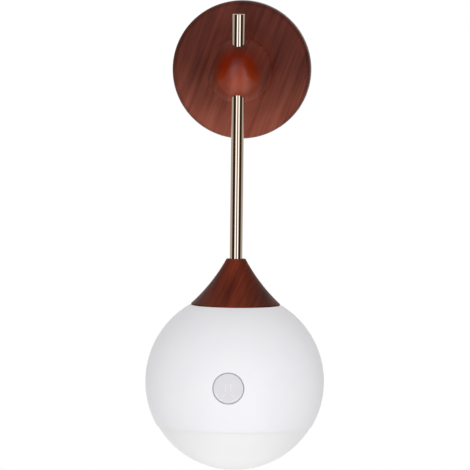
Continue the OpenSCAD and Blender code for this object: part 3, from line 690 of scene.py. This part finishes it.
def wall_disc():
    """Turned disc: rounded front edge, the ball's seat in front, pockets for magnet and cover behind."""
    front, back = -disc_low.y, -disc_high.y
    seat_r = seat_high.x + FIT
    floor = front - SEAT_DEPTH - FIT
    cover_r, cover_top = cover_high.x + FIT, -cover_low.y
    magnet_r, magnet_top = magnet_high.x + FIT, -magnet_low.y + FIT
    profile = [
        (0, floor), (seat_r, floor), (seat_r, front - SOFT_EDGE),
        *arc((seat_r + SOFT_EDGE, front - SOFT_EDGE), SOFT_EDGE, 180, 90, 4),
        *arc((DISC_R - DISC_EDGE, front - DISC_EDGE), DISC_EDGE, 90, 0, 16),
        (DISC_R, back + DISC_BEVEL), (DISC_R - DISC_BEVEL, back),
        (cover_r, back), (cover_r, cover_top),
        (magnet_r, cover_top), (magnet_r, magnet_top), (0, magnet_top),
    ]
    dress(turned("wall_disc", profile, satin_wood, OUT_OF_WALL), "base", "stained_wood", "base_disc")


def foam_pad():
    """Foam pad: soft rim, flat faces."""
    rim, thick = pad_high.x - PAD_EDGE, -pad_low.y
    profile = [
        (0, 0), *arc((rim, PAD_EDGE), PAD_EDGE, -90, 0, 4),
        *arc((rim, thick - PAD_EDGE), PAD_EDGE, 0, 90, 4), (0, thick),
    ]
    dress(turned("foam_pad", profile, foam, OUT_OF_WALL), "base", "foam_tape", "adhesive_pad")


def joint_ball():
    """Ball with the slug's pocket in its back, bored for the rod in its front half."""
    slug_r = slug_high.x + FIT / 2
    pocket_floor = -(SLUG_FRONT - FIT)
    mouth = math.degrees(math.acos(slug_r / BALL_R))
    profile = [(0, pocket_floor), (slug_r, pocket_floor), *arc((0, 0), BALL_R, -mouth, 90, 96)]
    ball = turned("joint_ball", profile, ball_lacquer, Matrix.Translation((0, BALL_Y, 0)) @ OUT_OF_WALL)
    bore, end = ROD_R + BORE_FIT, 2 * BALL_R
    drill = turned("drill", [(0, -end), (bore, -end), (bore, end), (0, end)], ball_lacquer, AT_AXIS, SMALL)
    dress(boolean(ball, drill), "ball", "ball_lacquer", "pivot_ball")


def bright_rod():
    """Rod: rounded top edge, groove inside the ball, stepped down to the stud in the cone."""
    top, bottom = rod_high.z, rod_low.z
    shoulder = cone_high.z - ROD_GRIP
    groove = ROD_R - GROOVE_DEPTH
    profile = [
        (0, bottom), (STUD_R, bottom), (STUD_R, shoulder), (ROD_R, shoulder), (ROD_R, -GROOVE_HALF),
        (groove, -GROOVE_HALF), (groove, GROOVE_HALF), (ROD_R, GROOVE_HALF),
        *arc((ROD_R - ROD_EDGE, top - ROD_EDGE), ROD_EDGE, 0, 90, 4), (0, top),
    ]
    dress(turned("bright_rod", profile, nickel, AT_AXIS, SMALL), "lamp", "polished_nickel", "rod")


def cone():
    """Turned flare: an arc that bows in from the base edge to the small top, hollow below."""
    base_r, height = cone_high.x, cone_high.z - cone_low.z
    top = height - CONE_EDGE
    run, rise = base_r - CONE_TOP_R, top - CONE_LIP
    chord = math.hypot(run, rise)
    flare_r = chord ** 2 / (8 * CONE_SAG) + CONE_SAG / 2
    away = flare_r - CONE_SAG
    centre = (
        (base_r + CONE_TOP_R) / 2 + away * rise / chord,
        (CONE_LIP + top) / 2 + away * run / chord,
    )
    first = math.degrees(math.atan2(CONE_LIP - centre[1], base_r - centre[0]))
    last = math.degrees(math.atan2(top - centre[1], CONE_TOP_R - centre[0]))
    bore, stud = ROD_R + FIT, STUD_R + FIT
    grip = height - ROD_GRIP
    ceiling = grip - CONE_WEB
    profile = [
        (base_r - CONE_WALL + FIT, 0), *arc((base_r - CONE_FOOT, CONE_FOOT), CONE_FOOT, -90, 0, 4),
        *arc(centre, flare_r, first % 360, last % 360, 48),
        *arc((CONE_TOP_R - CONE_EDGE, top), CONE_EDGE, 0, 90, 5),
        (bore, height), (bore, grip), (stud, grip), (stud, ceiling), (stud + CONE_WALL, ceiling),
    ]
    made = turned("cone", profile, flare_wood, Matrix.Translation((0, AXIS_Y, cone_low.z)), ring=True)
    dress(made, "lamp", "stained_wood", "cone_cap")


def globe_shell():
    """Upper shell: neck flat, seam edge, sensor hole and the control openings at the back."""
    inside = GLOBE_R - SHELL_WALL
    neck, neck_angle = ball_edge(GLOBE_R, NECK_Z, SOFT_EDGE)
    seam, seam_angle = ball_edge(GLOBE_R, SEAM_Z, SEAM_EDGE)
    ceiling = NECK_Z - NECK_T
    bead_top = SEAM_Z + BEAD_H
    low, high = (math.degrees(math.asin(z / inside)) for z in (bead_top, ceiling))
    profile = [
        (NECK_HOLE_R, NECK_Z), *arc(neck, SOFT_EDGE, 90, neck_angle, 5),
        *arc((0, 0), GLOBE_R, neck_angle, seam_angle, 96), *arc(seam, SEAM_EDGE, seam_angle, -90, 5),
        (BEAD_R, SEAM_Z), (BEAD_R, bead_top),
        *arc((0, 0), inside, low, high, 64), (NECK_HOLE_R, ceiling),
    ]
    shell = turned("globe_shell", profile, white_abs, AT_GLOBE, ring=True)

    hole, start, end = LENS_R + LENS_GAP, inside - DRILL_PAST, GLOBE_R + HOLE_RIM
    rim = hole + HOLE_RIM
    mouth = math.sqrt((GLOBE_R - HOLE_RIM) ** 2 - rim ** 2)
    drill = [
        (0, start), (hole, start), *arc((rim, mouth), HOLE_RIM, 180, 100, 5), (rim, end), (0, end)]
    shell = boolean(shell, turned("drill", drill, white_abs, TO_FRONT))

    middle = GLOBE_R - SHELL_WALL / 2
    edge = math.degrees(math.acos(PANEL_R / middle))
    panel = [(0, PANEL_IN), (PANEL_R, PANEL_IN), *arc((0, 0), middle, edge, 90, 12)]
    shell = boolean(shell, turned("panel", panel, white_abs, TO_BACK, SMALL), "UNION")
    openings = (
        (SLIDER_POCKET, SWITCH_Z, KNOB_FLOOR),
        (SLIDER_SLOT, SWITCH_Z, inside / 2),
        (PORT_MOUTH, PORT_Z, inside / 2),
    )
    for (length, height), level, floor in openings:
        place = TO_BACK @ Matrix.Translation((0, -level, floor))
        shell = boolean(shell, stadium("opening", length, height, GLOBE_R, white_abs, place))
    dress(shell, "lamp", "white_abs", "upper_shell")


def milky_bowl():
    """Diffuser: lower bowl with a softened edge at the seam and a lip inside the shell."""
    edge_z = SEAM_Z - SEAM_GAP
    lip_z = SEAM_Z + LIP_H
    step_z = edge_z - BOWL_STEP
    inside = BOWL_R - BOWL_WALL
    lip_r = BEAD_R - LIP_FIT
    outer_angle = math.degrees(math.asin((edge_z - SEAM_EDGE) / BOWL_R))
    inner_angle = math.degrees(math.asin((step_z - LIP_T) / inside))
    profile = [
        *arc((0, 0), BOWL_R, -90, outer_angle, 72),
        (math.sqrt(BOWL_R ** 2 - edge_z ** 2) - SEAM_EDGE, edge_z),
        (lip_r, edge_z), (lip_r, lip_z), (lip_r - LIP_T, lip_z), (lip_r - LIP_T, step_z),
        *arc((0, 0), inside, inner_angle, -90, 60),
    ]
    dress(turned("milky_bowl", profile, milky, AT_GLOBE), "lamp", "milky_polycarbonate", "diffuser")


def sensor_window():
    """Sensor window: a cap of the globe's sphere with a rounded rim, a skirt and a hidden flange."""
    outside = GLOBE_R - LENS_SINK
    rim = LENS_R - LENS_RIM
    flange_r = window_high.x
    flange_out = GLOBE_R - SHELL_WALL - FIT / 2
    flange_in = flange_out - LENS_T
    skirt = LENS_R - SKIRT_T
    face = GLOBE_R - LENS_T

    def depth(radius, away):
        """How far forward a ball's surface lies at a distance from the window's axis."""
        return math.sqrt(radius ** 2 - away ** 2)

    edge_h = depth(outside - LENS_RIM, rim)
    edge_angle = math.degrees(math.atan2(edge_h, rim))
    profile = [
        *arc((0, 0), outside, 90, edge_angle, 24), *arc((rim, edge_h), LENS_RIM, edge_angle, 0, 5),
        (LENS_R, depth(flange_out, LENS_R)), (flange_r, depth(flange_out, flange_r)),
        (flange_r, depth(flange_in, flange_r)), (skirt, depth(flange_in, skirt)),
        (skirt, depth(face, skirt)), *arc((0, 0), face, math.degrees(math.acos(skirt / face)), 90, 12),
    ]
    made = turned("sensor_window", profile, lens_plastic, TO_FRONT, MEDIUM)
    dress(made, "lamp", "lens_polyethylene", "pir_lens")


def window_ridges():
    """Lines between the lens's segments: two upright, two that spread below them and one round the rim."""
    fall = UPRIGHT_LOW - UPRIGHT_TOP
    heights = [UPRIGHT_TOP + fall * i / UPRIGHT_STEPS for i in range(UPRIGHT_STEPS + 1)]
    runs = [SPREAD_RUN * i / SPREAD_STEPS for i in range(SPREAD_STEPS + 1)]
    flat_lines = [[(side * UPRIGHT_X, z) for z in heights] for side in (-1, 1)]
    flat_lines += [[(side * (SPREAD_X + run), SPREAD_TOP - run) for run in runs] for side in (-1, 1)]
    flat_lines.append(arc((0, 0), RIM_LINE_R, *RIM_LINE_SPAN, 32))
    radius = GLOBE_R - LENS_SINK - RIDGE_SINK
    lines = [[(x, z, math.sqrt(radius ** 2 - x ** 2 - z ** 2)) for x, z in line] for line in flat_lines]
    made = grown("window_ridges", lines, False, RIDGES, TO_FRONT, Radius=RIDGE_R, Finish=ridge_highlight)
    dress(made, "lamp", "lens_polyethylene")


wall_disc()
foam_pad()
joint_ball()
bright_rod()
cone()
globe_shell()
milky_bowl()
sensor_window()
window_ridges()


# Studio: floor, light and camera, sizes in metres
FLOOR_R = 1.2
FLOOR_DROP = 0.2
FLOOR_FADE = (0.3, 1.1, 0.5, 1)


def studio_floor():
    """Round pale floor that fades into the white background and keeps a soft shadow."""
    shape = bmesh.new()
    bmesh.ops.create_circle(shape, cap_ends=True, segments=MEDIUM, radius=FLOOR_R)
    mesh = bpy.data.meshes.new("floor")
    shape.to_mesh(mesh)
    shape.free()
    mesh.transform(Matrix.Translation((0, 0, cad_box[0][2] - FLOOR_DROP)))
    made = bpy.data.materials.new("Pale floor")
    made.use_nodes = True
    tree = made.node_tree
    tree.nodes.clear()
    place = node(tree, "ShaderNodeTexCoord").outputs["Object"]
    flat = node(tree, "ShaderNodeVectorMath", (place, (1, 1, 0)), operation="MULTIPLY")
    away = node(tree, "ShaderNodeVectorMath", [flat], operation="LENGTH")
    fade = node(tree, RANGE, (away, *FLOOR_FADE), **SMOOTH)
    paint = node(tree, "ShaderNodeBsdfDiffuse", {"Color": linear("#f6f6f6")})
    white = node(tree, "ShaderNodeEmission", {"Strength": 1})
    seen = node(tree, "ShaderNodeMixShader", (fade, paint, white))
    camera_ray = node(tree, "ShaderNodeLightPath").outputs["Is Camera Ray"]
    below = node(tree, "ShaderNodeNewGeometry").outputs["Backfacing"]
    above = node(tree, MATHS, (1, below), operation="SUBTRACT")
    shown = node(tree, MATHS, (camera_ray, above), operation="MULTIPLY")
    clear = node(tree, "ShaderNodeBsdfTransparent")
    mix = node(tree, "ShaderNodeMixShader", (shown, clear, seen))
    node(tree, "ShaderNodeOutputMaterial", {"Surface": mix})
    mesh.materials.append(made)
    add("floor", mesh)


# What mirrors see, by the way a ray leaves the object: angles in degrees round the upright from the studio's
# front, heights as the upward part of the ray from -1 to 1, and levels where 1 is white
STUDIO_TURN = 3
PANEL_LEFT, PANEL_RIGHT, PANEL_SOFT, PANEL_LEVEL = -33, 33.5, 3, 1.5
PANEL_FOOT, PANEL_HEAD = (-0.75, -0.6), (0.62, 0.42)
GAP_HALF, GAP_SOFT, GAP_LEVEL = 11.3, 2, 0.14
SIDE_LEVEL, SIDE_TINT = 0.035, "#ffc987"
BACK_START, BACK_SOFT, BACK_LEVEL, BACK_TINT = 84, 4, 0.5, 0.12
BACK_FOOT = (-0.7, -0.5)
REAR_START, REAR_SOFT, REAR_LEVEL = 152, 3, 0.5
TOP_HEIGHT, TOP_LEVEL = (0.5, 0.8), 0.2
GROUND_HEIGHT, GROUND_LEVEL = (-0.6, -0.75), 1.4
GROUND_GAP, GROUND_WIDTH = (5, 28, 0.3, 1), (0.68, 0.48)
GROUND_SIDES, GROUND_MIDDLE = (0.95, 0.74), (-0.88, -0.95)
# What matt surfaces get: light all round that grows with height, a key above the camera, fill at the lower
# sides, flags at the upper sides that take light away, and some light from the ground and from behind
SOFT_LEVEL, SOFT_RISE = 0.645, 0.18
KEY_HEIGHT, KEY_FRONT, KEY_LEVEL = (0, 0.6), (0.2, 0.7), 0.48
FLAG_HEIGHT, FLAG_WIDTH, FILL_LEVEL, FLAG_LEVEL = (-0.3, 0.5), (0.35, 0.75), 0.56, -0.84
BELOW_HEIGHT, BELOW_LEVEL = (-0.5, -0.9), 0.22
BEHIND_FRONT, BEHIND_LEVEL = (-0.5, -0.95), 0.6
# A broad lamp beside the camera, angles in degrees
LAMP_LEVEL, LAMP_ANGLE, LAMP_ABOVE = 0.275, 2, 1.7


def mirrored_level(tree, across, forward, height):
    """What mirrors see: a bright panel with a gap in it, dark warm sides, a grey back and a pale ground.

    Returns the level and the share of the sides' warm tint.
    """
    turn = node(tree, MATHS, (across, forward), operation="ARCTAN2")
    signed = node(tree, MATHS, [turn], operation="DEGREES")
    angle = node(tree, MATHS, [signed], operation="ABSOLUTE")
    foot = node(tree, RANGE, (height, *PANEL_FOOT), **SMOOTH)
    head = node(tree, RANGE, (height, *PANEL_HEAD), **SMOOTH)
    tall = node(tree, MATHS, (foot, head), operation="MULTIPLY")
    left = node(tree, RANGE, (signed, PANEL_LEFT - PANEL_SOFT, PANEL_LEFT + PANEL_SOFT), **SMOOTH)
    right = node(tree, RANGE, (signed, PANEL_RIGHT + PANEL_SOFT, PANEL_RIGHT - PANEL_SOFT), **SMOOTH)
    wide = node(tree, MATHS, (left, right), operation="MULTIPLY")
    beside = node(tree, RANGE, (angle, GAP_HALF - GAP_SOFT, GAP_HALF + GAP_SOFT, 0, PANEL_LEVEL), **SMOOTH)
    gap = node(tree, RANGE, (angle, GAP_HALF + GAP_SOFT, GAP_HALF - GAP_SOFT, 0, GAP_LEVEL), **SMOOTH)
    panel = node(tree, MATHS, (wide, beside, gap), operation="MULTIPLY_ADD")

    behind = node(tree, RANGE, (angle, BACK_START - BACK_SOFT, BACK_START + BACK_SOFT), **SMOOTH)
    back_foot = node(tree, RANGE, (height, *BACK_FOOT), **SMOOTH)
    back = node(tree, MATHS, (behind, back_foot), operation="MULTIPLY")
    rear_span = (REAR_START - REAR_SOFT, REAR_START + REAR_SOFT)
    rear = node(tree, RANGE, (angle, *rear_span, SIDE_LEVEL, REAR_LEVEL), **SMOOTH)
    walls = node(tree, MATHS, (back, BACK_LEVEL - SIDE_LEVEL, rear), operation="MULTIPLY_ADD")
    level = node(tree, MATHS, (tall, panel, walls), operation="MULTIPLY_ADD")
    top = node(tree, RANGE, (height, *TOP_HEIGHT, 0, TOP_LEVEL), **SMOOTH)
    level = node(tree, MATHS, (level, top), operation="ADD")

    ground = node(tree, RANGE, (height, *GROUND_HEIGHT, 0, GROUND_LEVEL), **SMOOTH)
    aslant = node(tree, MATHS, [across], operation="ABSOLUTE")
    sine = node(tree, MATHS, [turn], operation="SINE")
    sideways = node(tree, MATHS, [sine], operation="ABSOLUTE")
    near = node(tree, RANGE, (sideways, *GROUND_SIDES), **SMOOTH)
    middle = node(tree, RANGE, (height, *GROUND_MIDDLE), **SMOOTH)
    shares = (
        node(tree, MATHS, (near, middle), operation="MAXIMUM"),
        node(tree, RANGE, (angle, *GROUND_GAP), **SMOOTH),
        node(tree, RANGE, (aslant, *GROUND_WIDTH), **SMOOTH),
    )
    for share in shares:
        ground = node(tree, MATHS, (ground, share), operation="MULTIPLY")
    level = node(tree, MATHS, (level, ground), operation="ADD")

    outside = node(tree, MATHS, (1, wide), operation="SUBTRACT")
    faded = node(tree, RANGE, (behind, 0, 1, 1, BACK_TINT), **SMOOTH)
    aside = node(tree, MATHS, (outside, faded), operation="MULTIPLY")
    return level, node(tree, MATHS, (aside, tall), operation="MULTIPLY")


def soft_level(tree, across, forward, height):
    """Light on matt surfaces: even, with key, fill, flags, and some from the ground and from behind."""
    level = node(tree, MATHS, (height, SOFT_RISE, SOFT_LEVEL), operation="MULTIPLY_ADD")
    aslant = node(tree, MATHS, [across], operation="ABSOLUTE")
    sides = node(tree, RANGE, (height, *FLAG_HEIGHT, FILL_LEVEL, FLAG_LEVEL), **SMOOTH)
    far = node(tree, RANGE, (aslant, *FLAG_WIDTH), **SMOOTH)
    level = node(tree, MATHS, (sides, far, level), operation="MULTIPLY_ADD")
    key = node(tree, RANGE, (height, *KEY_HEIGHT, 0, KEY_LEVEL), **SMOOTH)
    front = node(tree, RANGE, (forward, *KEY_FRONT), **SMOOTH)
    level = node(tree, MATHS, (key, front, level), operation="MULTIPLY_ADD")
    below = node(tree, RANGE, (height, *BELOW_HEIGHT, 0, BELOW_LEVEL), **SMOOTH)
    behind = node(tree, RANGE, (forward, *BEHIND_FRONT, 0, BEHIND_LEVEL), **SMOOTH)
    more = node(tree, MATHS, (below, behind), operation="ADD")
    return node(tree, MATHS, (level, more), operation="ADD")


def studio_light():
    """White to the camera; soft light for matt surfaces; panels and dark sides for mirrors; and the lamp."""
    world = bpy.data.worlds.new("Studio")
    bpy.context.scene.world = world
    world.use_nodes = True
    world.cycles.sampling_method = "NONE"
    tree = world.node_tree
    tree.nodes.clear()
    facing = node(tree, "ShaderNodeMapping", {
        "Vector": node(tree, "ShaderNodeTexCoord").outputs["Generated"],
        "Rotation": (0, 0, -math.radians(VIEW_AZIMUTH + STUDIO_TURN))})
    way = node(tree, "ShaderNodeSeparateXYZ", [facing]).outputs
    forward = node(tree, MATHS, (way["Y"], -1), operation="MULTIPLY")
    mirrored, warm = mirrored_level(tree, way["X"], forward, way["Z"])
    soft = soft_level(tree, way["X"], forward, way["Z"])

    path = node(tree, "ShaderNodeLightPath").outputs
    glossy = path["Is Glossy Ray"]
    seen = node(tree, MATHS, (path["Is Camera Ray"], path["Is Transmission Ray"]), operation="MAXIMUM")
    level = node(tree, MIX, {"Factor": glossy, "A": soft, "B": mirrored}, data_type="FLOAT")
    strength = node(tree, MIX, {"Factor": seen, "A": level, "B": 1}, data_type="FLOAT")
    warmth = node(tree, MATHS, (warm, glossy), operation="MULTIPLY")
    tint = node(tree, MIX, {"Factor": warmth, "A": linear("#ffffff"), "B": linear(SIDE_TINT)}, **COLOURS)
    sky = node(tree, "ShaderNodeBackground", {"Color": tint, "Strength": strength})
    node(tree, "ShaderNodeOutputWorld", {"Surface": sky})

    lamp = bpy.data.lights.new("front lamp", "SUN")
    lamp.energy = LAMP_LEVEL * math.pi
    lamp.angle = math.radians(LAMP_ANGLE)
    obj = add("front lamp", lamp)
    obj.rotation_euler = (math.radians(90 - LAMP_ABOVE), 0, math.radians(VIEW_AZIMUTH))
    obj.visible_glossy = False


def photo_camera():
    """Long lens at the photograph's angle."""
    azimuth, elevation, roll = (math.radians(a) for a in (VIEW_AZIMUTH, VIEW_ELEVATION, VIEW_ROLL))
    flat = math.cos(elevation)
    away = Vector((math.sin(azimuth) * flat, -math.cos(azimuth) * flat, math.sin(elevation)))
    side = Vector((math.cos(azimuth), math.sin(azimuth), 0))
    up = away.cross(side)
    right = math.cos(roll) * side + math.sin(roll) * up
    top = math.cos(roll) * up - math.sin(roll) * side
    aim = Vector((0, AXIS_Y, VIEW_DROP)) + VIEW_SIDE * side
    lens = bpy.data.cameras.new("camera")
    lens.sensor_width = SENSOR
    lens.lens = VIEW_FOCAL * SENSOR / PICTURE
    lens.clip_end = 100
    camera = add("camera", lens)
    turn = Matrix((right, top, away)).transposed().to_4x4()
    camera.matrix_world = Matrix.Translation(aim + VIEW_DISTANCE * away) @ turn
    bpy.context.scene.camera = camera


studio_floor()
studio_light()
photo_camera()
bpy.context.scene.view_settings.view_transform = "Standard"
